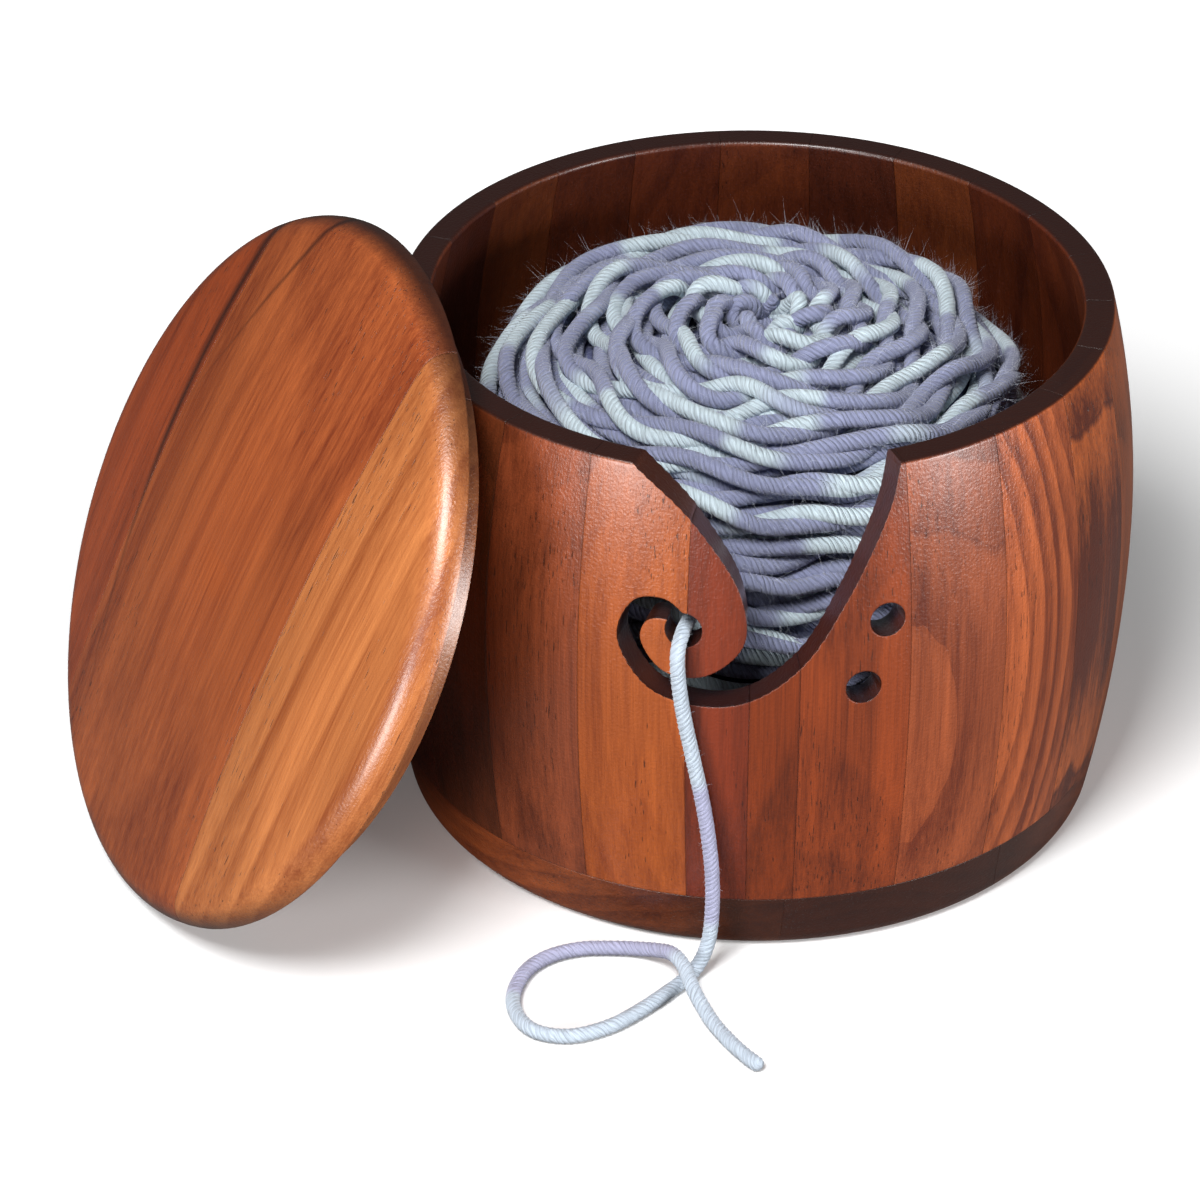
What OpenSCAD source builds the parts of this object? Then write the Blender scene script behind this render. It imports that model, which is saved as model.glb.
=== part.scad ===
// Yarn dispenser box: a coopered wooden bowl with a swirl slot, a loose lid and a yarn cake.
// Millimetres, +Z up. The origin is on the bowl's axis, at the underside of its base.

/* [Bowl] */
// Largest diameter, at the belly
belly_d = 178; // [150:1:220]
// Height of the belly above the table
belly_z = 70; // [50:1:80]
// Outer diameter of the rim
rim_d = 164; // [140:1:172]
// Outer diameter of the foot before its edge is eased
foot_d = 164; // [140:1:172]
// Height of the bowl, base included
bowl_h = 126; // [105:1:155]
// Thickness of the wall
wall = 7; // [5:0.5:9]
// Thickness of the base boards
base_t = 15; // [10:0.5:20]
// Radius that eases the two edges of the rim
rim_ease = 1; // [0.5:0.1:2]
// Radius that rounds the foot's edge
foot_ease = 4; // [2:0.5:6]

/* [Staves] */
// Number of stave widths round the bowl
stave_count = 22; // [18:1:26]
// Angle of the first glue joint
first_joint = -50; // [-60:1:-40]
// Share of its width that the first half of the split stave takes
split_share = 0.56; // [0.4:0.01:0.65]
// Thickness of a glue line
glue = 0.05; // [0.02:0.01:0.1]

/* [Slot] */
// Angle of the slot round the bowl
slot_turn = -88; // [-92:1:-84]
// Depth of the end hole's centre below the rim
end_hole_down = 37; // [34:0.5:40]
// Distance of the end hole along the wall from the slot's middle
end_hole_side = -18; // [-20:0.5:-16]
// Diameter of the hole that ends the slot
end_hole_d = 8.4; // [6:0.1:10]

/* [Tool holes] */
// Diameter of the two drilled holes
tool_hole_d = 8.2; // [6:0.1:10]
// Angle of the upper hole round the bowl
upper_hole_turn = -70; // [-74:0.5:-62]
// Depth of the upper hole below the rim
upper_hole_down = 35.8; // [25:0.1:45]
// Angle of the lower hole round the bowl
lower_hole_turn = -73.5; // [-78:0.5:-66]
// Depth of the lower hole below the rim
lower_hole_down = 52; // [46:0.1:65]

/* [Lid] */
// Diameter of the lid
lid_d = 166; // [140:1:180]
// Thickness of the lid at its middle, above the step
lid_t = 12; // [9:0.5:18]
// Radius of the lid's domed face
lid_dome = 600; // [400:10:1200]
// Radius of the lid's rounded edge
lid_edge = 7; // [4:0.5:8]
// Height of the step under the lid
step_t = 8.5; // [4:0.5:10]
// Clearance round the step inside the rim
step_gap = 0.8; // [0.5:0.1:1.5]
// Distance of the first lid joint from the lid's middle
lid_joint_a = -47; // [-60:1:-20]
// Distance of the second lid joint from the lid's middle
lid_joint_b = 35; // [20:1:60]
// Direction that the leaning lid faces
lean_turn = 206.5; // [190:0.5:220]
// Upward tilt of the leaning lid's face
lean_tilt = 27; // [20:0.5:35]
// Sideways shift of the leaning lid
lean_side = -12; // [-20:1:20]
// Gap between the leaning lid and the rim, and under its edge
lean_gap = 0.3; // [0.2:0.1:1]

/* [Yarn cake] */
// Diameter of the cake over its yarn
cake_d = 130; // [110:1:134]
// Height of the cake's shoulder top above the table
cake_top = 112; // [95:1:116]
// Radius of the cake's shoulder
cake_round = 22; // [16:1:28]
// Rise of the top towards its middle
cake_crown = 5; // [0:0.5:6]
// Depth of the hollow in the middle of the top
cake_dimple = 6; // [0:0.5:8]
// Loops of yarn in the outer layer
cake_loops = 24; // [12:1:24]
// Diameter of the yarn on the cake
cake_yarn_d = 4.4; // [3:0.1:4.4]
// Distance from one loop to the next
cake_pitch = 4.9; // [4.9:0.1:5.2]
// Radius at which the outer layer starts
cake_start_r = 9; // [8:0.5:12]
// Gap under the cake and under its outer layer
cake_gap = 0.2; // [0.1:0.05:0.4]

/* [Yarn end] */
// Diameter of the loose strand
strand_d = 3.5; // [2.5:0.1:3.8]

/* [Hidden] */

belly_r = belly_d / 2;
rim_r = rim_d / 2;
rim_in = rim_r - wall;
// A smooth wall of revolution from two arcs that meet, upright, at the belly
up_rise = bowl_h - belly_z;
up_drop = belly_r - rim_r;
up_r = (up_rise * up_rise + up_drop * up_drop) / (2 * up_drop);
low_drop = belly_r - foot_d / 2;
low_r = (belly_z * belly_z + low_drop * low_drop) / (2 * low_drop);
up_c = belly_r - up_r;
low_c = belly_r - low_r;
stave_w = 360 / stave_count;
arc_fn = 360;

// The joints between staves: one width is split in two behind the slot's tongue
split_index = 3;
function joint(k) = first_joint - k * stave_w;
function stave_from(n) = n < split_index ? joint(n)
    : n == split_index ? joint(n - 1) - (1 - split_share) * stave_w
    : joint(n - 1);

// The slot's two edges, from the mouth round to the end hole:
// distance along the wall and depth below the rim of the tongue side, then of the outer side
slot_edges = [[-40, -6, 35.5, -6], [-32.5, 0, 32.5, 0], [-19, 9.5, 29.5, 9], [-8.7, 21.5, 23.4, 21],
    [-4.6, 30.5, 17.8, 31], [-4.2, 39, 9.2, 44.5], [-8.5, 45.2, -2, 53.6], [-15, 48.7, -13.5, 56],
    [-22.6, 47.6, -26, 52.6], [-27.6, 41, -33.2, 41.5], [-26.4, 35.8, -29.8, 31.6],
    [-21.5, 35, -22.4, 29.9], [-17.5, 39, -17, 34]];
slot_steps = 6;

// The loose strand, from the cake through the end hole, down the wall and round its loop
strand_route = [[-9.5, -66.8, 88.5], [-11.5, -73, 88], [-13.5, -80, 87.6], [-15, -86.5, 87.4],
    [-15.8, -90.4, 85], [-15.6, -91.2, 79], [-14.3, -91, 69], [-12, -91, 57], [-9.8, -91, 45.5],
    [-8.2, -91, 34], [-7.4, -91, 23], [-7.6, -91.2, 12.5], [-8.6, -92, 6.5], [-10.6, -94, 2.8],
    [-13.6, -98.2, 1.8], [-18, -103.8, 1.8], [-23.4, -110, 1.8], [-29.2, -115.4, 1.8],
    [-36, -119, 1.8], [-41.4, -119.6, 1.8], [-46.6, -117.8, 1.8], [-50.2, -113.2, 1.8],
    [-51.8, -107, 1.8], [-51, -100.2, 1.8], [-48.4, -94.2, 1.8], [-43.6, -89.6, 1.8],
    [-37.2, -87, 1.8], [-30.6, -86.4, 1.8], [-24.4, -87, 2.2], [-19.4, -89.6, 3.8],
    [-16.2, -93.2, 5.6], [-13.6, -98.2, 6], [-10.8, -105.6, 4], [-6.8, -113.2, 1.9],
    [-2.6, -120.4, 1.8], [1, -125.4, 1.8], [4.4, -129.2, 1.8]];

// A point of the smooth curve through four neighbours, t from 0 to 1
function blend(a, b, c, d, t) = 0.5 * ((2 * b) + (c - a) * t + (2 * a - 5 * b + 4 * c - d) * t * t
    + (3 * b - a - 3 * c + d) * t * t * t);
function pick(list, i) = list[max(0, min(len(list) - 1, i))];
function smooth_line(list, steps) = concat(
    [for (i = [0:len(list) - 2], k = [0:steps - 1])
        blend(pick(list, i - 1), list[i], list[i + 1], pick(list, i + 2), k / steps)],
    [list[len(list) - 1]]);

function unit(v) = v / norm(v);
// The place at a distance along the belly from the slot's middle, a depth and a radius
function on_wall(along, down, r) =
    let (turn = slot_turn + along / belly_r * 180 / PI)
    [r * cos(turn), r * sin(turn), bowl_h - down];

// Faces of a tube of rings with the given number of sides
function tube_faces(rings, sides) = concat(
    [for (k = [1:sides - 2]) [0, k, k + 1]],
    [for (i = [0:rings - 2], k = [0:sides - 1])
        [i * sides + k, (i + 1) * sides + k, i * sides + (k + 1) % sides]],
    [for (i = [0:rings - 2], k = [0:sides - 1])
        [i * sides + (k + 1) % sides, (i + 1) * sides + k, (i + 1) * sides + (k + 1) % sides]],
    [for (k = [1:sides - 2]) [0, k + 1, k] + (rings - 1) * sides * [1, 1, 1]]);

// A direction carried along a line without twist, so that it stays square to the line
function square_to(v, way) = unit(v - (v * way) * way);
// A round tube along a line of points, its rings turned as little as the line allows
module tube(line, d, sides, first_side) {
    last = len(line) - 1;
    ways = [for (i = [0:last]) unit(line[min(i + 1, last)] - line[max(i - 1, 0)])];
    ups = [for (i = 0, u = square_to(first_side, ways[0]); i <= last;
        i = i + 1, u = square_to(u, ways[min(i, last)])) u];
    points = [for (i = [0:last])
        let (up = square_to(ups[i], ways[i]), across = cross(ways[i], up))
        for (k = [0:sides - 1])
            line[i] + d / 2 * (cos(k * 360 / sides) * up + sin(k * 360 / sides) * across)];
    polyhedron(points, tube_faces(last + 1, sides), convexity = 10);
}

// The half outline inside the wall's outer arcs, drawn in by an even inset
module bowl_outline(inset) {
    intersection() {
        translate([up_c, belly_z]) circle(up_r - inset, $fn = arc_fn);
        translate([0, belly_z]) square([belly_d, bowl_h - belly_z]);
    }
    intersection() {
        translate([low_c, belly_z]) circle(low_r - inset, $fn = arc_fn);
        square([belly_d, belly_z]);
    }
}

// What rounding takes off a corner: the quadrilateral outside a circle that touches both sides
module corner_waste(centre, touch, corner, foot, r) {
    difference() {
        polygon([centre, touch, corner, foot]);
        translate(centre) circle(r, $fn = 48);
    }
}

module rim_waste() {
    z = bowl_h - rim_ease;
    out_c = [up_c + sqrt(pow(up_r - rim_ease, 2) - pow(z - belly_z, 2)), z];
    out_way = unit(out_c - [up_c, belly_z]);
    corner_waste(out_c, out_c + (rim_ease + 0.01) * out_way,
        [rim_r + 2 * rim_ease, bowl_h + rim_ease], [out_c[0], bowl_h + 0.01], rim_ease);
    in_r = up_r - wall;
    in_c = [up_c + sqrt(pow(in_r + rim_ease, 2) - pow(z - belly_z, 2)), z];
    in_way = unit(in_c - [up_c, belly_z]);
    corner_waste(in_c, in_c - (rim_ease + 0.01) * in_way,
        [rim_in - 2 * rim_ease, bowl_h + rim_ease], [in_c[0], bowl_h + 0.01], rim_ease);
}

module wall_profile() {
    difference() {
        bowl_outline(0);
        bowl_outline(wall);
        square([belly_d, base_t]);
        rim_waste();
    }
}

module base_profile() {
    c = [low_c + sqrt(pow(low_r - foot_ease, 2) - pow(belly_z - foot_ease, 2)), foot_ease];
    way = unit(c - [low_c, belly_z]);
    difference() {
        intersection() {
            bowl_outline(0);
            square([belly_d, base_t]);
        }
        corner_waste(c, c + (foot_ease + 0.01) * way, [belly_r, -foot_ease], [c[0], -0.01], foot_ease);
    }
}

// How far the cutters reach past the wall on both sides
cut_reach = 20;

// The slot's tool path as one solid, its walls square to the bowl's wall
module slot_cutter() {
    rows = smooth_line(slot_edges, slot_steps);
    near = rim_in - cut_reach;
    far = belly_r + cut_reach;
    points = [for (e = rows) each [on_wall(e[0], e[1], near), on_wall(e[2], e[3], near),
        on_wall(e[2], e[3], far), on_wall(e[0], e[1], far)]];
    polyhedron(points, tube_faces(len(rows), 4), convexity = 12);
}

module wall_hole(turn, down, d) {
    translate([0, 0, bowl_h - down]) rotate([0, 90, turn])
        translate([0, 0, rim_in - cut_reach])
            cylinder(h = wall + 2 * cut_reach, d = d, $fn = 48);
}

end_hole_turn = slot_turn + end_hole_side / belly_r * 180 / PI;

module wall_cuts() {
    slot_cutter();
    wall_hole(end_hole_turn, end_hole_down, end_hole_d);
    wall_hole(upper_hole_turn, upper_hole_down, tool_hole_d);
    wall_hole(lower_hole_turn, lower_hole_down, tool_hole_d);
}

module stave_blank(n) {
    line = glue / belly_r * 180 / PI;
    from = stave_from(n) - line / 2;
    to = stave_from(n + 1) + line / 2;
    rotate([0, 0, to]) rotate_extrude(angle = from - to, $fn = arc_fn) wall_profile();
}

// The staves that the slot and the holes run through
cut_from = slot_turn + slot_edges[1][2] / belly_r * 180 / PI;
cut_to = slot_turn + slot_edges[1][0] / belly_r * 180 / PI;

stave_colors = ["#8a4522", "#5f2a16", "#9a5127", "#6e331a", "#7d3c1e"];

module stave(n) {
    color(stave_colors[(n * 3) % 5])
    if (stave_from(n + 1) < cut_from && stave_from(n) > cut_to)
        difference() {
            stave_blank(n);
            wall_cuts();
        }
    else
        stave_blank(n);
}

// A board between two glue joints that run along Y of the current frame
module board_slab(from, to) {
    translate([from + glue / 2, -belly_d, -belly_d])
        cube([to - from - glue, 2 * belly_d, 2 * belly_d]);
}

// Direction that the ends of the base boards face, and the first joint's distance to one side
base_turn = -65;
base_joint = foot_d / 6;

module base_board(from, to) {
    color("#7a3a1c")
    rotate([0, 0, base_turn + 90])
    intersection() {
        rotate_extrude($fn = arc_fn) base_profile();
        board_slab(from, to);
    }
}

lid_r = lid_d / 2;
step_r = rim_in - step_gap;

// The lid's half section: a domed face that runs into a round edge, over the step
module lid_profile() {
    dome_c = lid_t - lid_dome;
    edge_x = lid_r - lid_edge;
    edge_z = dome_c + sqrt(pow(lid_dome - lid_edge, 2) - edge_x * edge_x);
    way = unit([edge_x, edge_z - dome_c]);
    touch = [0, dome_c] + lid_dome * way;
    intersection() {
        translate([0, dome_c]) circle(lid_dome, $fn = arc_fn);
        polygon([[0, 0], [edge_x, 0], [edge_x, edge_z], touch + 2 * way, [0, lid_t + 2]]);
    }
    intersection() {
        translate([edge_x, edge_z]) circle(lid_edge, $fn = 96);
        translate([edge_x - lid_edge, 0]) square([2 * lid_edge, lid_t]);
    }
    translate([0, -step_t]) square([step_r, step_t]);
}

// The leaning lid: its lower edge on the table, its step against the rim
lean_up = lid_r * cos(lean_tilt);
lean_out = (rim_r * cos(lean_tilt) + bowl_h * sin(lean_tilt) + step_t + lean_gap
    - lean_up * sin(lean_tilt)) / cos(lean_tilt);

module lean() {
    rotate([0, 0, lean_turn]) translate([lean_out, lean_side, lean_up + lean_gap])
        rotate([0, 90 - lean_tilt, 0]) rotate([0, 0, 90]) children();
}

module lid_board(from, to) {
    color("#9c5228")
    lean() intersection() {
        rotate_extrude($fn = arc_fn) lid_profile();
        board_slab(from, to);
    }
}

// The yarn cake. Its section is walked outwards from the middle of the top, over the shoulder
// and down the side, at the centre of the outer layer's yarn
cake_r = cake_d / 2;
yarn_r = cake_yarn_d / 2;
flat_r = cake_r - cake_round;
turn_r = cake_round - yarn_r;
side_r = cake_r - yarn_r;
shoulder_run = turn_r * PI / 2;
flat_run = flat_r - cake_start_r;
dimple_r = 12;
function top_rise(r) = cake_crown * (1 - pow(r / flat_r, 2))
    - cake_dimple * exp(-pow(r / dimple_r, 2));
function cake_section(s) = s < flat_run
    ? let (r = cake_start_r + s) [r, cake_top - yarn_r + top_rise(r)]
    : s < flat_run + shoulder_run
    ? let (a = (s - flat_run) / turn_r * 180 / PI)
        [flat_r + turn_r * sin(a), cake_top - cake_round + turn_r * cos(a)]
    : [side_r, cake_top - cake_round - (s - flat_run - shoulder_run)];

loop_rings = 24;
cake_line = [for (i = [0:cake_loops * loop_rings])
    let (p = cake_section(cake_pitch * i / loop_rings), a = 360 * i / loop_rings)
    [p[0] * cos(a), p[0] * sin(a), p[1]]];
loop_gap = min([for (i = [0:2:(cake_loops - 1) * loop_rings])
    min([for (k = [-4:4]) norm(cake_line[i + loop_rings + (i + loop_rings + k
        > cake_loops * loop_rings ? 0 : k)] - cake_line[i])])]) - cake_yarn_d;
echo(least_gap_of_the_outer_layer_to_itself = loop_gap);

module yarn_cake_turns() {
    color("#9a9cc0") tube(cake_line, cake_yarn_d, 6, [0, 0, 1]);
}

// The packed turns inside: clear of the outer layer, whose rings cut each loop's circle short
module yarn_cake_core() {
    short = side_r * (1 - cos(180 / loop_rings));
    under = yarn_r + cake_gap + short;
    floor_z = base_t + cake_gap;
    core_top = cake_top - yarn_r - under;
    top_points = [for (r = [0:3:flat_r]) [r, core_top + top_rise(r)]];
    color("#a9b4cf")
    rotate_extrude($fn = 120) union() {
        polygon(concat([[0, floor_z], [flat_r, floor_z], [flat_r, core_top]],
            [for (i = [len(top_points) - 1:-1:0]) top_points[i]]));
        translate([flat_r, cake_top - cake_round]) intersection() {
            circle(turn_r - under, $fn = 96);
            square(cake_round);
        }
        translate([0, floor_z + cake_round])
            square([side_r - under, cake_top - 2 * cake_round - floor_z]);
        translate([flat_r, floor_z + cake_round]) intersection() {
            circle(turn_r - under, $fn = 96);
            translate([0, -cake_round]) square(cake_round);
        }
        translate([0, floor_z]) square([flat_r, cake_round]);
    }
}

module yarn_end() {
    color("#c9d6de") tube(smooth_line(strand_route, 2), strand_d, 8, [1, 0, 0]);
}

base_board(-belly_r, -base_joint);  // base_board_left
base_board(-base_joint, base_joint);  // base_board_middle
base_board(base_joint, belly_r);  // base_board_right
stave(0);  // stave_01
stave(1);  // stave_02
stave(2);  // stave_03
stave(3);  // stave_04
stave(4);  // stave_05
stave(5);  // stave_06
stave(6);  // stave_07
stave(7);  // stave_08
stave(8);  // stave_09
stave(9);  // stave_10
stave(10);  // stave_11
stave(11);  // stave_12
stave(12);  // stave_13
stave(13);  // stave_14
stave(14);  // stave_15
stave(15);  // stave_16
stave(16);  // stave_17
stave(17);  // stave_18
stave(18);  // stave_19
stave(19);  // stave_20
stave(20);  // stave_21
stave(21);  // stave_22
stave(22);  // stave_23
lid_board(-lid_r, lid_joint_a);  // lid_board_left
lid_board(lid_joint_a, lid_joint_b);  // lid_board_middle
lid_board(lid_joint_b, lid_r);  // lid_board_right
yarn_cake_core();
yarn_cake_turns();
yarn_end();
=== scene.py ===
import functools
import math

import bmesh
import bpy
import numpy as np
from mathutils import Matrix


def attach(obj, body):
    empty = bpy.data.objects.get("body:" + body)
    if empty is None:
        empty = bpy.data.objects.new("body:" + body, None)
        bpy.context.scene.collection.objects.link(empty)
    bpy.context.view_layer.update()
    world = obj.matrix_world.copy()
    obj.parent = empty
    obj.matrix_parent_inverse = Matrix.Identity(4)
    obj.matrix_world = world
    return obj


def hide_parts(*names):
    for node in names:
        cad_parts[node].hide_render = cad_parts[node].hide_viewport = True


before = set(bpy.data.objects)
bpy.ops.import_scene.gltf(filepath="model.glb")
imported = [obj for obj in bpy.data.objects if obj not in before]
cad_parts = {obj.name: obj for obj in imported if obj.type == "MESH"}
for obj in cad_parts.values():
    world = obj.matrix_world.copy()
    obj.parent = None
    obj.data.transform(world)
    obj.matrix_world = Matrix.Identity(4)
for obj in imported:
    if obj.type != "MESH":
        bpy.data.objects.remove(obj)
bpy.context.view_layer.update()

# The camera
# A long lens, 1.2 m from the bowl and a third of a right angle above the table, as in the
# photograph, whose 1200 pixels of width its 36 mm sensor takes in.
CAMERA_PLACE = (0.0, -0.9763, 0.6630)
CAMERA_YAW = math.radians(2.12)
CAMERA_PITCH = math.radians(-32.48)
FOCAL_PIXELS = 4835
PHOTO_PIXELS = 1200
SENSOR_MM = 36.0

camera_data = bpy.data.cameras.new("camera")
camera_data.sensor_width = SENSOR_MM
camera_data.lens = FOCAL_PIXELS / PHOTO_PIXELS * SENSOR_MM
camera = bpy.data.objects.new("camera", camera_data)
camera.location = CAMERA_PLACE
camera.rotation_euler = (math.pi / 2 + CAMERA_PITCH, 0.0, CAMERA_YAW)
bpy.context.scene.collection.objects.link(camera)
bpy.context.scene.camera = camera


# The loose end of the yarn
# A thick space-dyed yarn of fine strands twisted together, limp. It leaves the cake, passes
# the hole at the end of the slot, hangs down the wall and crosses itself in one loop.
MM = 0.001
STRAND_D = 0.0035
STRAND_STEP_MM = 0.45
STRAND_SIDES = 18
# The ply: strands seen round the yarn, the length of one wind and the grooves' share of the radius
STRAND_PLY = {"lobes": 6, "lay": 0.009, "depth": 0.09}
STRAND_ROUTE = [
    (-9.5, -66.8, 88.5), (-11.5, -73, 88), (-13.5, -80, 87.6), (-15, -86.5, 87.4),
    (-15.8, -90.4, 85), (-15.6, -91.2, 79), (-14.3, -91, 69), (-12, -91, 57),
    (-9.8, -91, 45.5), (-8.2, -91, 34), (-7.4, -91, 23), (-7.6, -91.2, 12.5),
    (-8.6, -92, 6.5), (-10.6, -94, 2.8), (-13.6, -98.2, 1.8), (-18, -103.8, 1.8),
    (-23.4, -110, 1.8), (-29.2, -115.4, 1.8), (-36, -119, 1.8), (-41.4, -119.6, 1.8),
    (-46.6, -117.8, 1.8), (-50.2, -113.2, 1.8), (-51.8, -107, 1.8), (-51, -100.2, 1.8),
    (-48.4, -94.2, 1.8), (-43.6, -89.6, 1.8), (-37.2, -87, 1.8), (-30.6, -86.4, 1.8),
    (-24.4, -87, 2.2), (-19.4, -89.6, 3.8), (-16.2, -93.2, 5.6), (-13.6, -98.2, 6),
    (-10.8, -105.6, 4), (-6.8, -113.2, 1.9), (-2.6, -120.4, 1.8), (1, -125.4, 1.8),
    (4.4, -129.2, 1.8),
]


def run_along(path):
    """The distance run at each point of a path, which starts at zero."""
    return np.concatenate([[0], np.cumsum(np.linalg.norm(np.diff(path, axis=0), axis=1))])


def sampled(values, run, even):
    """Rows of values known at the distances run, read off at the distances even."""
    return np.stack([np.interp(even, run, values[:, k]) for k in range(3)], axis=1)


def smooth_path(points, step):
    """Passes a Catmull-Rom curve through the points and spaces new ones evenly along it.

    Between b and c, with neighbours a and d, the curve is half of
    2b + (c - a)t + (2a - 5b + 4c - d)t^2 + (3b - a - 3c + d)t^3.
    """
    p = np.asarray(points, float)
    p = np.vstack([p[:1], p, p[-1:]])
    t = np.linspace(0, 1, 16, endpoint=False)[:, None, None]
    a, b, c, d = p[:-3], p[1:-2], p[2:-1], p[3:]
    curve = 0.5 * (
        2 * b + (c - a) * t + (2 * a - 5 * b + 4 * c - d) * t**2
        + (3 * b - a - 3 * c + d) * t**3
    )
    curve = np.vstack([curve.transpose(1, 0, 2).reshape(-1, 3), p[-1:]])
    run = run_along(curve)
    return sampled(curve, run, np.linspace(0, run[-1], int(run[-1] / step) + 2))


def unit(v):
    """Each vector of an array, brought to a length of one."""
    return v / np.linalg.norm(v, axis=-1, keepdims=True)


def new_piece(name, points, faces, material, uv=None):
    """Puts arrays of points and faces, and a UV for each face corner, into a smooth mesh."""
    mesh = bpy.data.meshes.new(name)
    mesh.from_pydata(points, [], faces.tolist())
    mesh.polygons.foreach_set("use_smooth", np.ones(len(mesh.polygons), bool))
    if uv is not None:
        layer = mesh.uv_layers.new(name="UVMap")
        layer.data.foreach_set("uv", uv.astype(np.float32).ravel())
    mesh.materials.append(material)
    piece = bpy.data.objects.new(name, mesh)
    bpy.context.scene.collection.objects.link(piece)
    return piece


def yarn_surface(path, away, radius, sides, lobes, lay, depth):
    """The skin of a twisted yarn: rings round a path, whose radius follows the lobes.

    At a distance s along the path and an angle a round it the radius is
    radius x (1 - depth x sin^2(lobes / 2 x (a - 2 pi s / lay))), so that the lobes wind round
    once in every lay. The ends draw in to a point. The UV is (s in metres, turns round).
    """
    way = unit(np.gradient(path, axis=0))
    up = unit(away - (away * way).sum(1, keepdims=True) * way)
    across = np.cross(way, up)
    s = run_along(path)
    a = np.arange(sides) * 2 * np.pi / sides
    swell = 1 - depth * np.sin(lobes / 2 * (a[None] - 2 * np.pi * s[:, None] / lay)) ** 2
    end = np.minimum(s, s[-1] - s)[:, None] / radius
    swell = swell * np.sqrt(np.clip(1 - np.clip(1 - end, 0, 1) ** 2, 0.0004, 1))
    ring = np.cos(a)[None, :, None] * up[:, None] + np.sin(a)[None, :, None] * across[:, None]
    points = (path[:, None] + radius * swell[..., None] * ring).reshape(-1, 3)
    n = len(path)
    i, k = np.meshgrid(np.arange(n - 1), np.arange(sides), indexing="ij")
    j = (k + 1) % sides
    faces = np.stack([i * sides + k, i * sides + j, (i + 1) * sides + j, (i + 1) * sides + k], -1)
    u0, u1 = s[i], s[i + 1]
    v0, v1 = k / sides, (k + 1) / sides
    uv = np.stack([np.stack([u0, v0], -1), np.stack([u0, v1], -1),
                   np.stack([u1, v1], -1), np.stack([u1, v0], -1)], axis=2)
    return points, faces.reshape(-1, 4), uv.reshape(-1, 2)


def linear(hex_color):
    """An sRGB hex value as linear red, green, blue and alpha."""
    c = [int(hex_color[i:i + 2], 16) / 255 for i in (1, 3, 5)]
    return [v / 12.92 if v <= 0.04045 else ((v + 0.055) / 1.055) ** 2.4 for v in c] + [1.0]


def add_node(material, kind, inputs=None, **settings):
    """Adds a shader node with its settings, and sets or links each of its inputs."""
    node = material.node_tree.nodes.new(kind)
    for name, value in settings.items():
        setattr(node, name, value)
    for socket, value in (inputs or {}).items():
        if isinstance(value, bpy.types.NodeSocket):
            material.node_tree.links.new(value, node.inputs[socket])
        else:
            node.inputs[socket].default_value = value
    return node


def math_node(material, operation, *values):
    """The outcome of a math operation on numbers or on other nodes' outputs."""
    return add_node(material, "ShaderNodeMath", dict(enumerate(values)),
                    operation=operation).outputs[0]


def new_material(name):
    """An empty node material and its Principled shader."""
    material = bpy.data.materials.new(name)
    material.use_nodes = True
    return material, material.node_tree.nodes["Principled BSDF"]


# Soft acrylic and wool yarn, twisted from fine singles and dyed in stretches: the singles show
# as slanting ridges with painted shade in the grooves, the dye as runs of lavender and of pale
# mint, the fibre as a soft sheen.
SINGLES = 5
RIDGE_MM = 1.3
DYE_RUN_MM = 62


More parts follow.
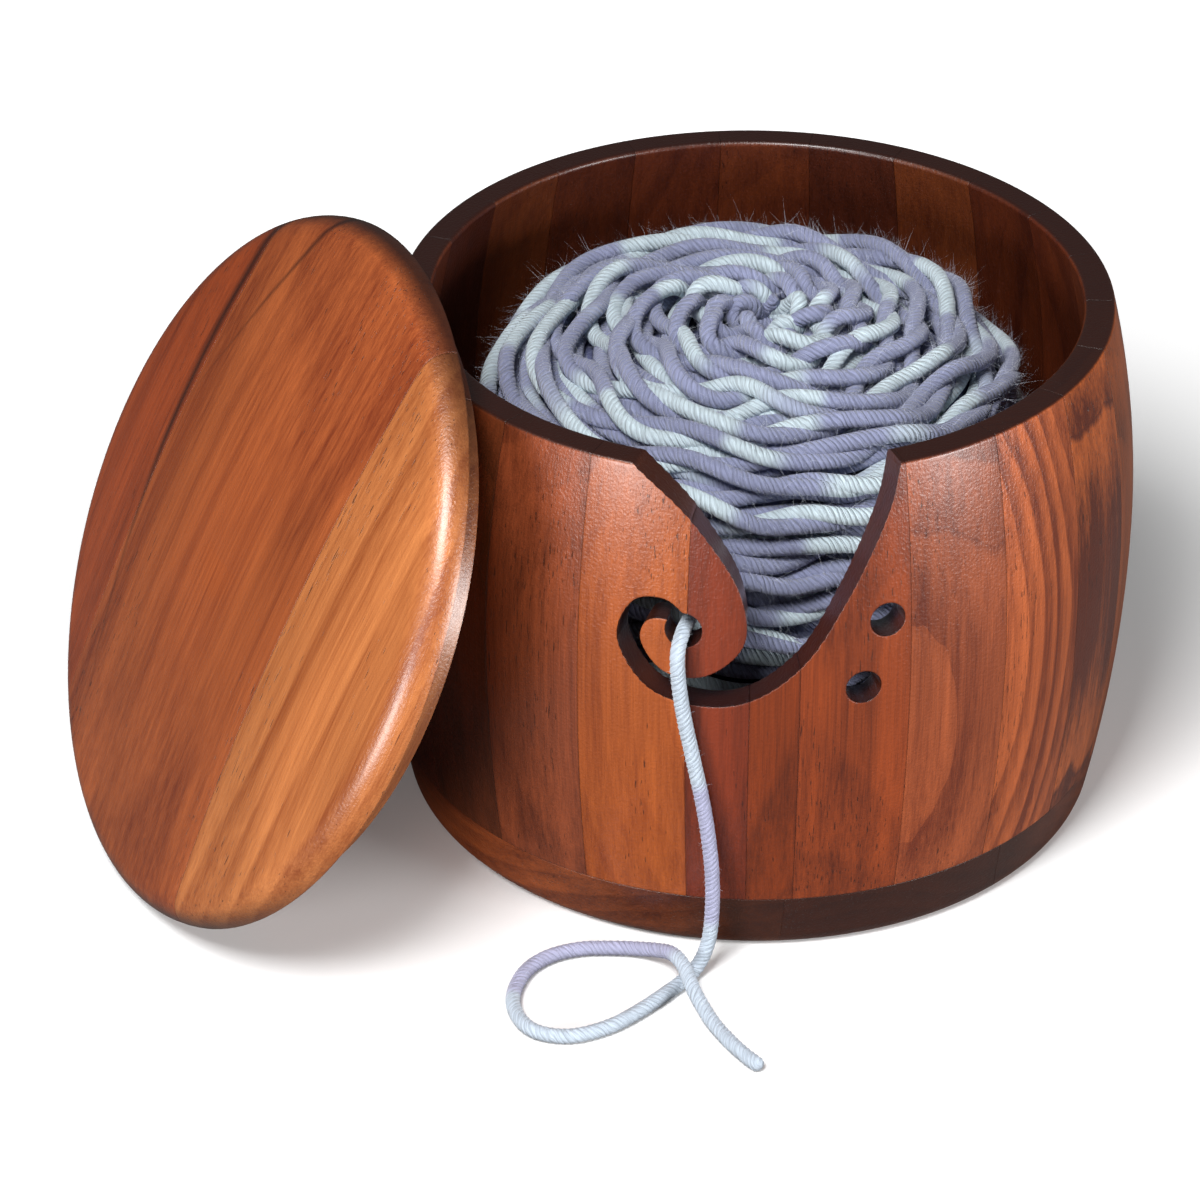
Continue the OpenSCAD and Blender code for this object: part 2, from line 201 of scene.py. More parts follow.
def space_dyed_yarn(name, lavender, pale, pale_from, seed, relief):
    """The yarn's material. Its dye noise, from 0 to 1 along the yarn, is pale over pale_from."""
    material, shader = new_material(name)
    calc = functools.partial(math_node, material)
    place = add_node(material, "ShaderNodeUVMap", uv_map="UVMap").outputs[0]
    along, turns_round = add_node(material, "ShaderNodeSeparateXYZ", {0: place}).outputs[:2]
    # The dye's runs along the yarn, with soft ends
    dye = add_node(material, "ShaderNodeTexNoise",
                   {"W": calc("MULTIPLY_ADD", along, 1000 / DYE_RUN_MM, seed), "Scale": 1.0,
                    "Detail": 1.0, "Roughness": 0.4}, noise_dimensions="1D")
    dyed = add_node(material, "ShaderNodeMapRange",
                    {0: dye.outputs[0], 1: pale_from, 2: pale_from + 0.05},
                    interpolation_type="SMOOTHSTEP").outputs[0]
    # The singles: their phase is singles x turns round - distance / ridge width, bent by noise
    stray = add_node(material, "ShaderNodeTexNoise",
                     {"W": calc("MULTIPLY", along, 260.0), "Scale": 1.0, "Detail": 2.0},
                     noise_dimensions="1D").outputs[0]
    phase = calc("MULTIPLY_ADD", turns_round, float(SINGLES),
                 calc("MULTIPLY", along, -1000 / RIDGE_MM))
    phase = calc("MULTIPLY_ADD", stray, 1.1, phase)
    ridge = calc("ABSOLUTE", calc("SINE", calc("MULTIPLY", phase, math.pi)))
    # Fibres drawn out along the singles: fine noise across the phase, slow along it
    fibre_at = add_node(material, "ShaderNodeCombineXYZ",
                        {0: calc("MULTIPLY", phase, 5.0), 1: calc("MULTIPLY", along, 330.0)})
    fibre = add_node(material, "ShaderNodeTexNoise",
                     {"Vector": fibre_at.outputs[0], "Scale": 1.0, "Detail": 3.0}).outputs[0]
    color = add_node(material, "ShaderNodeMix", {0: dyed, 6: linear(lavender), 7: linear(pale)},
                     data_type="RGBA").outputs[2]
    # The grooves between the singles are painted darker: painted shade
    shade = add_node(material, "ShaderNodeMapRange", {0: ridge, 1: 0.0, 2: 0.6, 3: 0.8, 4: 1.0})
    fleck = add_node(material, "ShaderNodeMapRange",
                     {0: fibre, 1: 0.3, 2: 0.7, 3: 0.74, 4: 1.22})
    tone = calc("MULTIPLY", shade.outputs[0], fleck.outputs[0])
    color = add_node(material, "ShaderNodeVectorMath", {0: color, 3: tone},
                     operation="SCALE").outputs[0]
    bump = add_node(material, "ShaderNodeBump",
                    {"Height": calc("MULTIPLY_ADD", fibre, 1.3, ridge), "Strength": relief,
                     "Distance": 0.0005})
    material.node_tree.links.new(color, shader.inputs["Base Color"])
    material.node_tree.links.new(bump.outputs[0], shader.inputs["Normal"])
    shader.inputs["Roughness"].default_value = 0.95
    shader.inputs["Specular IOR Level"].default_value = 0.15
    shader.inputs["Sheen Weight"].default_value = 0.25
    shader.inputs["Sheen Roughness"].default_value = 0.5
    return material


strand_yarn = space_dyed_yarn("space_dyed_yarn_end", "#a3a4bf", "#b4c0cd", 0.42, 11.3, 0.45)
strand_path = smooth_path(STRAND_ROUTE, STRAND_STEP_MM) * MM
height_mm = strand_path[:, 2] / MM
# The rings' own up is +Z where the strand lies flat or passes the hole, and the wall's outward
# side where it hangs
hanging = np.clip((height_mm - 3) / 8, 0, 1) * np.clip((87.5 - height_mm) / 3, 0, 1)
strand_away = np.stack([0 * hanging, -hanging, 1.05 - hanging], axis=1)
points, faces, uv = yarn_surface(strand_path, strand_away, STRAND_D / 2, STRAND_SIDES, **STRAND_PLY)
strand = new_piece("yarn_end_strand", points, faces, strand_yarn, uv)
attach(strand, "bowl")
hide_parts("yarn_end")


# The halo of loose fibres
# Short hairs that stand out of the yarn all over, finer than a hair of the head and nearly
# white, which blur its outline. They are drawn a little thicker than real so that they show.
HAIR_W = 0.00004
TABLE_GAP = 0.0002
STRAND_HAIRS = 420
STRAND_HAIR_L = 0.0011
# Points at each end of the strand that carry no hair
BARE_POINTS = 60


def hairs(name, roots, outward, along, length, material, seed):
    """Thin curved ribbons: each starts at a root, leaves along outward and bends along a side.
    The length is one for all the hairs, or one for each. None reaches into the table.

    A point at share t of a hair's length L is root + L t outward + L t^2 sideways, and the
    ribbon's half width shrinks as 1 - t.
    """
    rng = np.random.default_rng(seed)
    n = len(roots)
    t = np.array([0.0, 0.35, 0.7, 1.0])
    size = np.reshape(length, (-1, 1, 1)) * rng.uniform(0.35, 1.0, (n, 1, 1))
    side = unit(rng.normal(size=(n, 3)) + 1.2 * along)[:, None]
    lean = unit(outward + 0.7 * rng.normal(size=(n, 3)))[:, None]
    middle = roots[:, None] + size * (t[None, :, None] * lean + (t**2)[None, :, None] * side * 0.8)
    width = HAIR_W / 2 * (1.05 - t)[None, :, None] * unit(np.cross(lean, side))
    points = np.stack([middle - width, middle + width], axis=2).reshape(-1, 3)
    points[:, 2] = np.maximum(points[:, 2], TABLE_GAP)
    step = np.arange(3) * 2
    base = np.arange(n)[:, None] * 8 + step[None]
    faces = np.stack([base, base + 1, base + 3, base + 2], axis=-1).reshape(-1, 4)
    return new_piece(name, points, faces, material)


def loose_fibre(name, color):
    """Matt hair, which takes up the dye of the yarn below it in some patches."""
    material, shader = new_material(name)
    patch = add_node(material, "ShaderNodeTexNoise",
                     {"Vector": add_node(material, "ShaderNodeTexCoord").outputs["Object"],
                      "Scale": 90.0, "Detail": 1.0})
    mixed = add_node(material, "ShaderNodeMix",
                     {0: patch.outputs[0], 6: linear(color), 7: linear("#e9eef3")},
                     data_type="RGBA").outputs[2]
    material.node_tree.links.new(mixed, shader.inputs["Base Color"])
    shader.inputs["Roughness"].default_value = 0.9
    shader.inputs["Specular IOR Level"].default_value = 0.15
    return material


yarn_fibre = loose_fibre("loose_yarn_fibre", "#b3b8d2")
rng = np.random.default_rng(5)
pick = rng.integers(BARE_POINTS, len(points) - BARE_POINTS, STRAND_HAIRS)
root = pick // STRAND_SIDES
way = unit(np.gradient(strand_path, axis=0))
strand_out = unit(points[pick] - strand_path[root])
strand_hairs = hairs("yarn_end_fibres", points[pick], strand_out, way[root], STRAND_HAIR_L,
                     yarn_fibre, 6)
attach(strand_hairs, "bowl")


# The cake of yarn
# Wound on a ball winder: a flat, slightly domed cake with round shoulders, whose outermost
# yarn weaves over and under its neighbours in short slanting runs, over plain turns below.
CAKE_R = 0.0612
CAKE_TOP = 0.1146
SHOULDER_R = 0.0180
YARN_D = 0.0041
YARN_STEP = 0.0014
YARN_SIDES = 12
YARN_PLY = {"lobes": 5, "lay": 0.0075, "depth": 0.07}
CROWN = 0.0042
HOLLOW = 0.0055
HOLLOW_R = 0.010
FLAT_R = CAKE_R - SHOULDER_R
SWIRL = (0.0028, 0.0085)
SKIN_RUN = FLAT_R + SHOULDER_R * math.pi / 2 + 0.05


def cake_skin(s, turned):
    """Places on the cake's skin, and its outward normal, at a distance s from its middle.

    Up to the flat radius the skin is top + crown x (1 - (r / flat)^2) - hollow x e^-(r / 10 mm)^2,
    then it turns through a quarter circle, then it runs straight down. The middle of the
    turns is off the axis by the swirl's offset x (1 - s / flat)^1.5.
    """
    bend = np.clip((s - FLAT_R) / SHOULDER_R, 0, np.pi / 2)
    down = np.maximum(s - FLAT_R - SHOULDER_R * np.pi / 2, 0)
    inner = np.minimum(s, FLAT_R)
    r = inner + SHOULDER_R * np.sin(bend)
    off = np.clip(1 - s / FLAT_R, 0, 1) ** 1.5
    x = r * np.cos(turned) + SWIRL[0] * off
    y = r * np.sin(turned) + SWIRL[1] * off
    rise = CROWN * (1 - (inner / FLAT_R) ** 2) - HOLLOW * np.exp(-((inner / HOLLOW_R) ** 2))
    z = CAKE_TOP - SHOULDER_R * (1 - np.cos(bend)) - down + rise
    out = np.stack([np.sin(bend) * np.cos(turned), np.sin(bend) * np.sin(turned),
                    np.cos(bend)], axis=1)
    return np.stack([x, y, z], axis=1), out


def drift(t, rates, seed):
    """Slow wandering between about -1 and 1: a mean of sines of t at the given rates."""
    rng = np.random.default_rng(seed)
    start = rng.uniform(0, 2 * np.pi, len(rates))
    return np.sin(2 * np.pi * np.outer(t, rates) + start).mean(1) * 1.5


def bundle_drift(p, size, amount, seed):
    """Moves whole neighbourhoods of yarn together: each coordinate gains a sum of sines of
    the place, with wavelengths near the given size."""
    rng = np.random.default_rng(seed)
    moved = p.copy()
    for k in range(3):
        waves = rng.normal(size=(5, 3)) / size
        sway = np.sin(2 * np.pi * p @ waves.T + rng.uniform(0, 2 * np.pi, 5)).mean(1)
        moved[:, k] += amount * (sway - sway.mean())
    return moved


# Each course of yarn: pitch, weave cycles a turn, sideways and upward reach of the weave,
# height over the skin, where it starts and the number of turns. The weave has half a cycle
# over in each turn, so that neighbours pass over and under each other.
COURSES = {
    "yarn_cake_under_turns": (0.0039, 3.5, 0.0012, 0.0005, -0.0042, 0.004, 32),
    "yarn_cake_over_turns": (0.00385, 4.5, 0.0034, 0.0020, 0.0, 0.0052, 25),
}
STEPS_A_TURN = 220
# The size of a neighbourhood that shifts as one, and how far it shifts
BUNDLE = 0.045
BUNDLE_REACH = 0.0017
HAIRS = 33000
LONG_HAIRS = 15000
HALO_L = 0.0048
NAP_L = 0.0014
cake_yarn = space_dyed_yarn("space_dyed_yarn_cake", "#9095b4", "#c8d8e0", 0.52, 3.7, 0.75)
for index, (name, course) in enumerate(COURSES.items()):
    pitch, cycles, reach, swell, height, first_s, turns = course
    turn = np.linspace(0, turns, turns * STEPS_A_TURN)
    turned = 2 * np.pi * turn + 1.1 * index
    weave = 2 * np.pi * cycles * turn + 0.9 * drift(turn, [0.31, 0.73, 1.13], 5 + index)
    lively = 1 + 0.25 * drift(turn, [0.9, 1.7, 2.9], 15 + index)
    calm = np.clip(turn / 2.5, 0.35, 1)
    s = first_s + pitch * turn + reach * lively * calm * np.sin(weave)
    s = s + 0.0007 * drift(turn, [1.3, 2.1, 3.7, 5.3], 25 + index)
    path, out = cake_skin(np.maximum(s, 0.0015), turned)
    rise = height + swell * np.cos(weave) + 0.0004 * drift(turn, [2.3, 4.1, 6.7], 35 + index)
    path = bundle_drift(path + out * rise[:, None], BUNDLE, BUNDLE_REACH, 45)
    # Even spacing along the yarn, which is much closer near the middle
    run = run_along(path)
    even = np.linspace(0, run[-1], int(run[-1] / YARN_STEP))
    path, out = sampled(path, run, even), sampled(out, run, even)
    points, faces, uv = yarn_surface(path, out, YARN_D / 2, YARN_SIDES, **YARN_PLY)
    cake_piece = new_piece(name, points, faces, cake_yarn, uv)
    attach(cake_piece, "yarn_cake")
    if index == 0:
        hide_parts("yarn_cake_turns")
    else:
        picked = np.random.default_rng(31).integers(0, len(path), HAIRS)
        spin = np.random.default_rng(32).uniform(-1.5, 1.5, (HAIRS, 1))
        way = unit(np.gradient(path, axis=0))[picked]
        side = np.cos(spin) * out[picked] + np.sin(spin) * np.cross(way, out[picked])
        hair_roots, hair_out, hair_way = path[picked] + side * YARN_D * 0.46, side, way

# The yarn inside, which shows only as darkness between the turns: its colour is painted shade.
# It lies under the skin by CORE_UNDER and stops just over the bowl's floor.
CORE_UNDER = 0.0066
CORE_FOOT = 0.0153
CORE_SIDES = 96
core_s = np.linspace(0, SKIN_RUN + 0.03, 60)
inner = np.minimum(core_s, FLAT_R)
core_bend = np.clip((core_s - FLAT_R) / SHOULDER_R, 0, np.pi / 2)
core_r = inner + (SHOULDER_R - CORE_UNDER) * np.sin(core_bend)
core_z = (CAKE_TOP - CORE_UNDER - (SHOULDER_R - CORE_UNDER) * (1 - np.cos(core_bend))
          + CROWN * (1 - (inner / FLAT_R) ** 2) - HOLLOW * np.exp(-((inner / HOLLOW_R) ** 2))
          - np.maximum(core_s - FLAT_R - SHOULDER_R * np.pi / 2, 0))
core_z = np.maximum(core_z, CORE_FOOT)
core_r = np.concatenate([core_r, [0.0]])
core_z = np.concatenate([core_z, [CORE_FOOT]])
core_angle = np.linspace(0, 2 * np.pi, CORE_SIDES, endpoint=False)
core_points = np.stack([core_r[:, None] * np.cos(core_angle),
                        core_r[:, None] * np.sin(core_angle),
                        np.repeat(core_z[:, None], CORE_SIDES, 1)], axis=-1).reshape(-1, 3)
i, k = np.meshgrid(np.arange(len(core_r) - 1), np.arange(CORE_SIDES), indexing="ij")
j = (k + 1) % CORE_SIDES
ring, next_ring = i * CORE_SIDES, (i + 1) * CORE_SIDES
core_faces = np.stack([ring + k, next_ring + k, next_ring + j, ring + j], -1)


def packed_yarn_painted_shade(name, color):
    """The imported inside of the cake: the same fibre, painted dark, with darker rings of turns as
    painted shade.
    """
    material, shader = new_material(name)
    place = add_node(material, "ShaderNodeTexCoord").outputs["Object"]
    turns = add_node(material, "ShaderNodeTexWave", {"Vector": place, "Scale": 75.0,
                     "Distortion": 3.0}, wave_type="RINGS", rings_direction="Z")
    mixed = add_node(material, "ShaderNodeMix",
                     {0: turns.outputs[1], 6: linear("#2c2f45"), 7: linear(color)},
                     data_type="RGBA").outputs[2]
    material.node_tree.links.new(mixed, shader.inputs["Base Color"])
    shader.inputs["Roughness"].default_value = 1.0
    return material


core = new_piece("yarn_cake_inner_turns", core_points, core_faces.reshape(-1, 4),
                 packed_yarn_painted_shade("packed_yarn_painted_shade", "#666b92"))
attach(core, "yarn_cake")
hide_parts("yarn_cake_core")
# Nearly half of the hairs are long and make the halo, and the rest are the nap
hair_length = np.where(np.arange(HAIRS) < LONG_HAIRS, HALO_L, NAP_L)
cake_hairs = hairs("yarn_cake_fibres", hair_roots, hair_out, hair_way, hair_length, yarn_fibre, 8)
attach(cake_hairs, "yarn_cake")


# The staves
# Narrow upright boards of a reddish hardwood with lively grain, glued edge to edge, turned
# round inside and out, stained red-brown and lacquered. Each board has its own tone.
WALL_R = 0.084
STAVES = 23
STAVE_WIDTHS = 22
STAVE_W = math.radians(360 / STAVE_WIDTHS)
FIRST_JOINT = math.radians(-50)
SPLIT_SHARE = 0.56


def stained_wood(name, light, dark, origin, turn, pith, slant, spacing_mm, seed, rings=0.35,
                 wall_axis=None, streaks=()):
    """Lacquered hardwood as a solid: growth rings round a pith that runs beside the board.

    In the board's own axes, with Z along the grain, a ring's number is
    (distance from the pith + slant x z + drift) / spacing, so cut faces show long arches,
    edges show stripes and ends show arcs, as sawn wood does. Each dark streak of heartwood is
    (x, slope, bow, half width, from z): a line at x + slope x z + bow x z^2 that fades below.
    """
    material, shader = new_material(name)
    calc = functools.partial(math_node, material)
    world = add_node(material, "ShaderNodeTexCoord")
    local = add_node(material, "ShaderNodeMapping",
                     {"Vector": world.outputs["Object"], "Location": origin, "Rotation": turn},
                     vector_type="TEXTURE").outputs[0]

    def stretched_noise(across, along, detail, roughness=0.5):
        """Noise with so many features a metre across the grain and along it."""
        at = add_node(material, "ShaderNodeMapping",
                      {"Vector": local, "Scale": (across, across, along),
                       "Location": (seed, 2 * seed, seed)}).outputs[0]
        return add_node(material, "ShaderNodeTexNoise",
                        {"Vector": at, "Scale": 1.0, "Detail": detail, "Roughness": roughness,
                         }).outputs[0]

    def ranged(value, low, high, to_low=0.0, to_high=1.0, **settings):
        """A value's range turned into another, held at both ends."""
        return add_node(material, "ShaderNodeMapRange",
                        {0: value, 1: low, 2: high, 3: to_low, 4: to_high}, **settings).outputs[0]

    def mixed(share, first, second):
        """A blend of two colours, all second where the share is one."""
        return add_node(material, "ShaderNodeMix", {0: share, 6: first, 7: second},
                        data_type="RGBA").outputs[2]

    # The growth rings
    from_pith = add_node(material, "ShaderNodeVectorMath",
                         {0: local, 1: (pith[0], pith[1], 0.0)}, operation="SUBTRACT").outputs[0]
    flat = add_node(material, "ShaderNodeVectorMath",
                    {0: from_pith, 1: (1.0, 1.0, 0.0)}, operation="MULTIPLY").outputs[0]
    distance = add_node(material, "ShaderNodeVectorMath", {0: flat}, operation="LENGTH").outputs[1]
    axes = add_node(material, "ShaderNodeSeparateXYZ", {0: local}).outputs
    along = axes[2]
    distance = calc("MULTIPLY_ADD", along, slant, distance)
    distance = calc("MULTIPLY_ADD", stretched_noise(30.0, 5.0, 2.0), 0.009, distance)
    distance = calc("MULTIPLY_ADD", stretched_noise(240.0, 24.0, 1.0), 0.0006, distance)
    ring = calc("MULTIPLY", distance, 1000 / spacing_mm)
    share = calc("FRACT", ring)
    late = ranged(share, 0.2, 0.97, interpolation_type="SMOOTHSTEP")
    early = ranged(share, 0.0, 0.1, 1.0, 0.0)
    strength = add_node(material, "ShaderNodeTexWhiteNoise",
                        {"W": calc("ADD", calc("FLOOR", ring), seed)},
                        noise_dimensions="1D").outputs[0]
    band = calc("MULTIPLY", calc("MAXIMUM", late, early),
                     ranged(strength, 0.0, 1.0, 0.15 * rings, rings))
    # Streaks along the grain: broad, a millimetre or two wide, and finer than that
    broad = ranged(stretched_noise(110.0, 2.5, 2.0), 0.32, 0.68)
    streak = ranged(stretched_noise(650.0, 9.0, 3.0, 0.6), 0.3, 0.7)
    fibre = stretched_noise(2600.0, 60.0, 2.0, 0.6)
    # Pores: dark dashes about 0.3 mm wide and 3 mm long, gathered in patches
    gathered = ranged(stretched_noise(55.0, 14.0, 1.0), 0.42, 0.62, 0.8, 0.66)
    pores = calc("MULTIPLY", ranged(calc(
        "SUBTRACT", stretched_noise(2300.0, 170.0, 1.0), gathered), 0.0, 0.04), 0.7)
    depth = calc("MULTIPLY_ADD", broad, 0.36, band)
    depth = calc("MULTIPLY_ADD", streak, 0.34, depth)
    depth = calc("MULTIPLY_ADD", ranged(fibre, 0.3, 0.7), 0.3, depth)
    depth = ranged(depth, 0.2, 1.06)
    dark_line = 0.0
    for at, lean, bow, half_width, begin in streaks:
        line = calc("MULTIPLY_ADD", calc("MULTIPLY_ADD", along, bow, lean), along, at)
        line = calc("MULTIPLY_ADD", stretched_noise(60.0, 20.0, 1.0), 0.002, line)
        off_line = calc("ABSOLUTE", calc("SUBTRACT", axes[0], line))
        wide = ranged(along, begin - 0.03, begin + 0.06, 0.25 * half_width, 1.3 * half_width)
        mark = ranged(calc("DIVIDE", off_line, wide), 0.1, 1.0, 0.9, 0.0)
        mark = calc("MULTIPLY", mark, ranged(along, begin - 0.04, begin + 0.03))
        dark_line = calc("MAXIMUM", dark_line, mark)
    color = mixed(depth, linear(light), linear(dark))
    tone = ranged(stretched_noise(24.0, 9.0, 2.0), 0.3, 0.7, 0.84, 1.16)
    color = add_node(material, "ShaderNodeVectorMath", {0: color, 3: tone},
                     operation="SCALE").outputs[0]
    color = mixed(pores, color, linear("#230b05"))
    if streaks:
        color = mixed(dark_line, color, linear("#2c0f07"))

    def facing(axis, low=None, high=None):
        """How far the surface faces along a board's axis, or that turned from low..high to 0..1."""
        turned_axis = add_node(material, "ShaderNodeVectorRotate",
                               {"Vector": axis, "Rotation": turn}, rotation_type="EULER_XYZ")
        dot = add_node(material, "ShaderNodeVectorMath",
                       {0: world.outputs["Normal"], 1: turned_axis.outputs[0]},
                       operation="DOT_PRODUCT").outputs[1]
        return dot if low is None else ranged(calc("ABSOLUTE", dot), low, high)

    # End grain drinks the stain
    color = mixed(calc("MULTIPLY", facing((0.0, 0.0, 1.0), 0.45, 0.92), 0.9), color,
                  linear("#1f0905"))
    if wall_axis:
        # On a wall, faces turned neither in nor out, such as the slot's sides, are painted darker:
        # painted shade in the slot
        cut_side_painted_shade = ranged(calc("ABSOLUTE", facing(wall_axis)), 0.8, 0.45)
        color = mixed(calc("MULTIPLY", cut_side_painted_shade, 0.85), color, linear("#2c0f08"))
        # The wall's inner face is painted darker: painted shade inside the bowl
        inside_painted_shade = ranged(facing(wall_axis), -0.5, -0.9)
        color = mixed(calc("MULTIPLY", inside_painted_shade, 0.5), color, linear("#2a0c06"))
    material.node_tree.links.new(color, shader.inputs["Base Color"])
    # The lacquer's skin: pores and fibres sink in, and it has a faint orange peel
    peel = add_node(material, "ShaderNodeTexNoise",
                    {"Vector": local, "Scale": 1400.0, "Detail": 1.0}).outputs[0]
    skin = calc("MULTIPLY_ADD", pores, -0.8, peel)
    skin = calc("MULTIPLY_ADD", fibre, 0.7, skin)
    eased = add_node(material, "ShaderNodeBevel", {"Radius": 0.0006}, samples=4)
    bump = add_node(material, "ShaderNodeBump",
                    {"Height": skin, "Strength": 0.6, "Distance": 0.0002,
                     "Normal": eased.outputs[0]})
    material.node_tree.links.new(bump.outputs[0], shader.inputs["Normal"])
    shader.inputs["Roughness"].default_value = 0.36
    shader.inputs["Specular IOR Level"].default_value = 0.5
    shader.inputs["Coat Weight"].default_value = 0.6
    shader.inputs["Coat Roughness"].default_value = 0.27
    return material


# Tones, light and dark wood, of the staves that the photograph shows, then those of the rest
STAVE_TONES = {
    1: ("#a1502a", "#5e2410"), 2: ("#8c3c16", "#4c1b0a"), 3: ("#81340f", "#491a08"),
    4: ("#7b2f15", "#4a1a0c"), 5: ("#a85420", "#712e0c"), 6: ("#8b4425", "#4f2111"),
    7: ("#6b3319", "#391a0c"), 21: ("#a8521f", "#602a0f"), 22: ("#bb5f2a", "#4f1c0a"),
    23: ("#bd6030", "#6a2a10"),
}
STRONG_RINGS = {22: 0.7, 23: 0.6, 1: 0.4}
SPARE_TONES = [("#8c421e", "#4e1e0e"), ("#672d16", "#331308"), ("#994d22", "#5c2610"),
               ("#733315", "#3e1508"), ("#833b1b", "#491a0c")]
# The staves that the slot and the holes run through, numbered from the right of the front
SLOT_STAVES = (2, 3, 4, 5)
WELD = 2e-6
SHARP = math.radians(35)
rng = np.random.default_rng(77)
for number in range(1, STAVES + 1):
    shift = number - 1 if number <= 3 else number - 2
    middle = FIRST_JOINT - STAVE_W * (shift + 0.5)
    if number == 3:
        middle = FIRST_JOINT - STAVE_W * (2 + (1 - SPLIT_SHARE) / 2)
    if number == 4:
        middle = FIRST_JOINT - STAVE_W * (3 - SPLIT_SHARE / 2)
    light, dark = STAVE_TONES.get(number, SPARE_TONES[number % 5])
    wood = stained_wood(
        f"stained_stave_{number:02d}", light, dark,
        (WALL_R * math.cos(middle), WALL_R * math.sin(middle), 0.0), (0.0, 0.0, middle),
        (rng.uniform(-0.13, -0.06), rng.uniform(-0.05, 0.05)), rng.uniform(-0.03, 0.03),
        rng.uniform(3.0, 5.5), number * 1.7, STRONG_RINGS.get(number, 0.3),
        wall_axis=(1.0, 0.0, 0.0))
    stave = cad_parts[f"stave_{number:02d}"]
    stave.data.materials.clear()
    stave.data.materials.append(wood)
    if number in SLOT_STAVES:
        # The slot's walls are one smooth sweep, and only real edges stay sharp
        welded = bmesh.new()
        welded.from_mesh(stave.data)
        bmesh.ops.remove_doubles(welded, verts=welded.verts, dist=WELD)
        mesh = bpy.data.meshes.new(f"stave_{number:02d}_sawn")
        welded.to_mesh(mesh)
        welded.free()
        if "custom_normal" in mesh.attributes:
            mesh.attributes.remove(mesh.attributes["custom_normal"])
        mesh.materials.clear()
        mesh.materials.append(wood)
        mesh.polygons.foreach_set("material_index", np.zeros(len(mesh.polygons), np.int32))
        mesh.polygons.foreach_set("use_smooth", np.ones(len(mesh.polygons), bool))
        mesh.set_sharp_from_angle(angle=SHARP)
        sawn = bpy.data.objects.new(mesh.name, mesh)
        bpy.context.scene.collection.objects.link(sawn)
        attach(sawn, "bowl")
        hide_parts(stave.name)


# The base
# Three boards glued edge to edge under the staves, turned with them. The boards' ends show at
# the front and drink the stain, so the band is nearly black there and light at its sides.
BASE_TURN = math.radians(-65)
for index, name in enumerate(("base_board_left", "base_board_middle", "base_board_right")):
    wood = stained_wood(
        f"stained_{name}", ("#9a4c22", "#863c1a", "#904420")[index], "#4e1e0e",
        (0.0, 0.0, 0.0), (math.pi / 2, 0.0, BASE_TURN + math.pi / 2),
        (0.02 * index - 0.03, -0.05), 0.03, 5.0, 40.0 + index)
    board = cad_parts[name]
    board.data.materials.clear()
    board.data.materials.append(wood)


# The lid
# Three boards glued edge to edge and turned to a low dome with a round edge, stained and
# lacquered like the bowl but a little lighter. It leans on the rim, its lower edge on the table.
LEAN_TURN = math.radians(206.5)
LEAN_TILT = math.radians(27)
LID_TONES = {"lid_board_left": ("#9c461e", "#5e210c"), "lid_board_middle": ("#ad5a2c", "#6c2a10"),
             "lid_board_right": ("#bd7440", "#85421c")}
LID_MIDDLE = (-0.1112, -0.0420, 0.0743)
SEAM_STREAK = (-0.0493, -0.109, 1.83, 0.0024, -0.02)
SHORT_STREAK = (-0.0547, 0.378, 0.0, 0.0018, 0.052)
LID_STREAKS = {"lid_board_left": [SEAM_STREAK], "lid_board_middle": [SEAM_STREAK, SHORT_STREAK],
               "lid_board_right": []}
for index, name in enumerate(LID_TONES):
    light, dark = LID_TONES[name]
    # The board's grain runs up the slope of the leaning lid
    wood = stained_wood(
        f"stained_{name}", light, dark, LID_MIDDLE, (-LEAN_TILT, 0.0, LEAN_TURN + math.pi / 2),
        ((-0.075, 0.05), (0.01, 0.13), (0.09, 0.04))[index], (0.02, -0.03, 0.03)[index],
        (7.0, 12.0, 6.0)[index], 60.0 + 3 * index, (0.35, 0.3, 0.3)[index],
        streaks=LID_STREAKS[name])
    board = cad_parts[name]
    board.data.materials.clear()
    board.data.materials.append(wood)


# The table and the light
# A white sweep under three soft lamps: a large one high at the front, and a low one at each
# side, which lay a sheen on the lacquer. The sweep also glows with painted light, which is
# weakest near the bowl, where it keeps the lamps' soft shadow.
floor_mesh = bpy.data.meshes.new("table")
FLOOR_HALF = 3.0
floor_mesh.from_pydata([(-FLOOR_HALF, -FLOOR_HALF, 0), (FLOOR_HALF, -FLOOR_HALF, 0),
                        (FLOOR_HALF, FLOOR_HALF, 0), (-FLOOR_HALF, FLOOR_HALF, 0)], [],
                       [(0, 1, 2, 3)])
white, shader = new_material("white_sweep_painted_glow")
shader.inputs["Base Color"].default_value = linear("#f6f6f6")
shader.inputs["Roughness"].default_value = 0.9
shader.inputs["Specular IOR Level"].default_value = 0.1
shader.inputs["Emission Color"].default_value = (1.0, 1.0, 1.0, 1.0)
# Painted glow: the sweep burns out to white away from the shadows, as its glow grows between
# two distances from the bowl's axis
SHADOW_R = 0.14
BURNT_R = 0.46
SHADOW_GLOW = 0.08
spot = add_node(white, "ShaderNodeTexCoord").outputs["Object"]
reach = add_node(white, "ShaderNodeVectorMath", {0: spot}, operation="LENGTH").outputs[1]
painted_glow = add_node(white, "ShaderNodeMapRange",
                 {0: reach, 1: SHADOW_R, 2: BURNT_R, 3: SHADOW_GLOW, 4: 1.0},
                 interpolation_type="SMOOTHSTEP").outputs[0]
white.node_tree.links.new(painted_glow, shader.inputs["Emission Strength"])
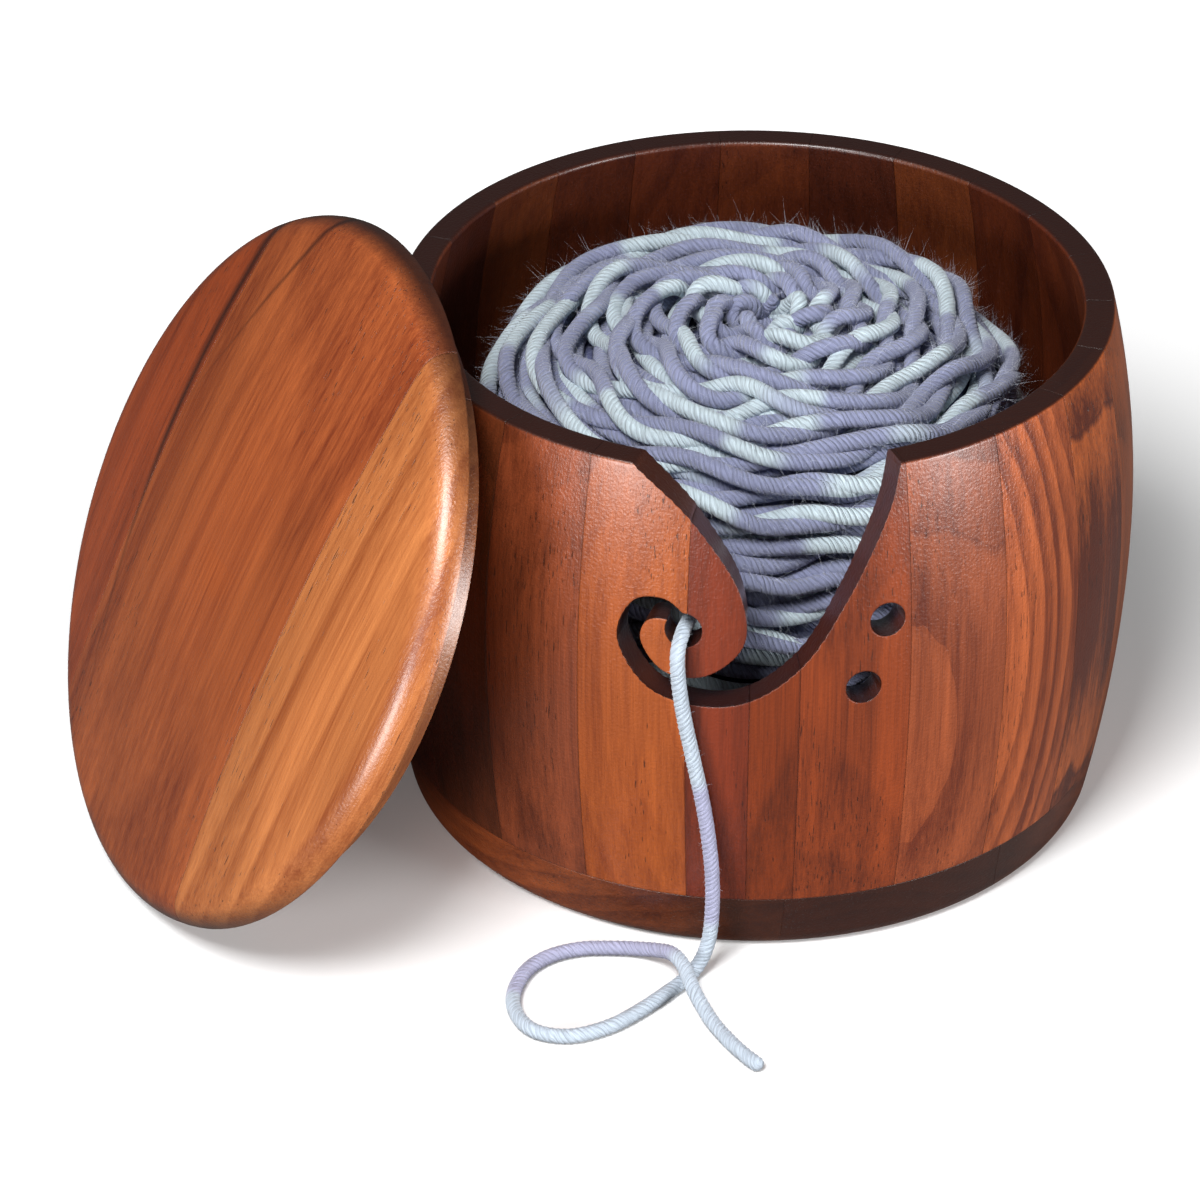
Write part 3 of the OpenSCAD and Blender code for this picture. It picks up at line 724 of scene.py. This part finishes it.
# Only the camera sees the sweep as white: the lacquer mirrors a dim studio
dim = add_node(white, "ShaderNodeBsdfDiffuse", {"Color": linear("#6e6a68")})
seen = add_node(white, "ShaderNodeLightPath").outputs["Is Camera Ray"]
sight = add_node(white, "ShaderNodeMixShader",
                 {0: seen, 1: dim.outputs[0], 2: shader.outputs[0]}).outputs[0]
white.node_tree.links.new(sight, white.node_tree.nodes["Material Output"].inputs["Surface"])
floor_mesh.materials.append(white)
floor = bpy.data.objects.new("table", floor_mesh)
bpy.context.scene.collection.objects.link(floor)


def soft_lamp(name, place, target, width, height, power):
    """A rectangular lamp at a place, turned so that its face looks at the target."""
    data = bpy.data.lights.new(name, "AREA")
    data.shape = "RECTANGLE"
    data.size, data.size_y = width, height
    data.energy = power
    lamp = bpy.data.objects.new(name, data)
    lamp.location = place
    way = np.array(target) - np.array(place)
    yaw = math.atan2(way[1], way[0]) - math.pi / 2
    pitch = math.atan2(way[2], math.hypot(way[0], way[1])) + math.pi / 2
    lamp.rotation_euler = (pitch, 0.0, yaw)
    bpy.context.scene.collection.objects.link(lamp)


WALL_MIDDLE = (0.0, 0.0, 0.06)
RIM_MIDDLE = (0.0, 0.0, 0.1)
soft_lamp("key_softbox", (-0.3, -0.75, 1.15), WALL_MIDDLE, 0.45, 0.45, 19.0)
soft_lamp("front_left_softbox", (-0.68, -0.96, 0.24), RIM_MIDDLE, 0.36, 0.42, 9.0)
soft_lamp("right_softbox", (1.0, -0.62, 0.24), RIM_MIDDLE, 0.34, 0.42, 11.0)

# A dim room for the lacquer to mirror, white only where the camera looks past the table
sky = bpy.data.worlds.new("studio")
bpy.context.scene.world = sky
sky.use_nodes = True
backdrop = sky.node_tree.nodes["Background"]
backdrop.inputs["Color"].default_value = (1.0, 1.0, 1.0, 1.0)
looked_at = add_node(sky, "ShaderNodeLightPath").outputs["Is Camera Ray"]
ROOM_LIGHT = 0.08
room = add_node(sky, "ShaderNodeMapRange", {0: looked_at, 1: 0.0, 2: 1.0, 3: ROOM_LIGHT, 4: 1.0})
sky.node_tree.links.new(room.outputs[0], backdrop.inputs["Strength"])
bpy.context.scene.view_settings.view_transform = "Standard"
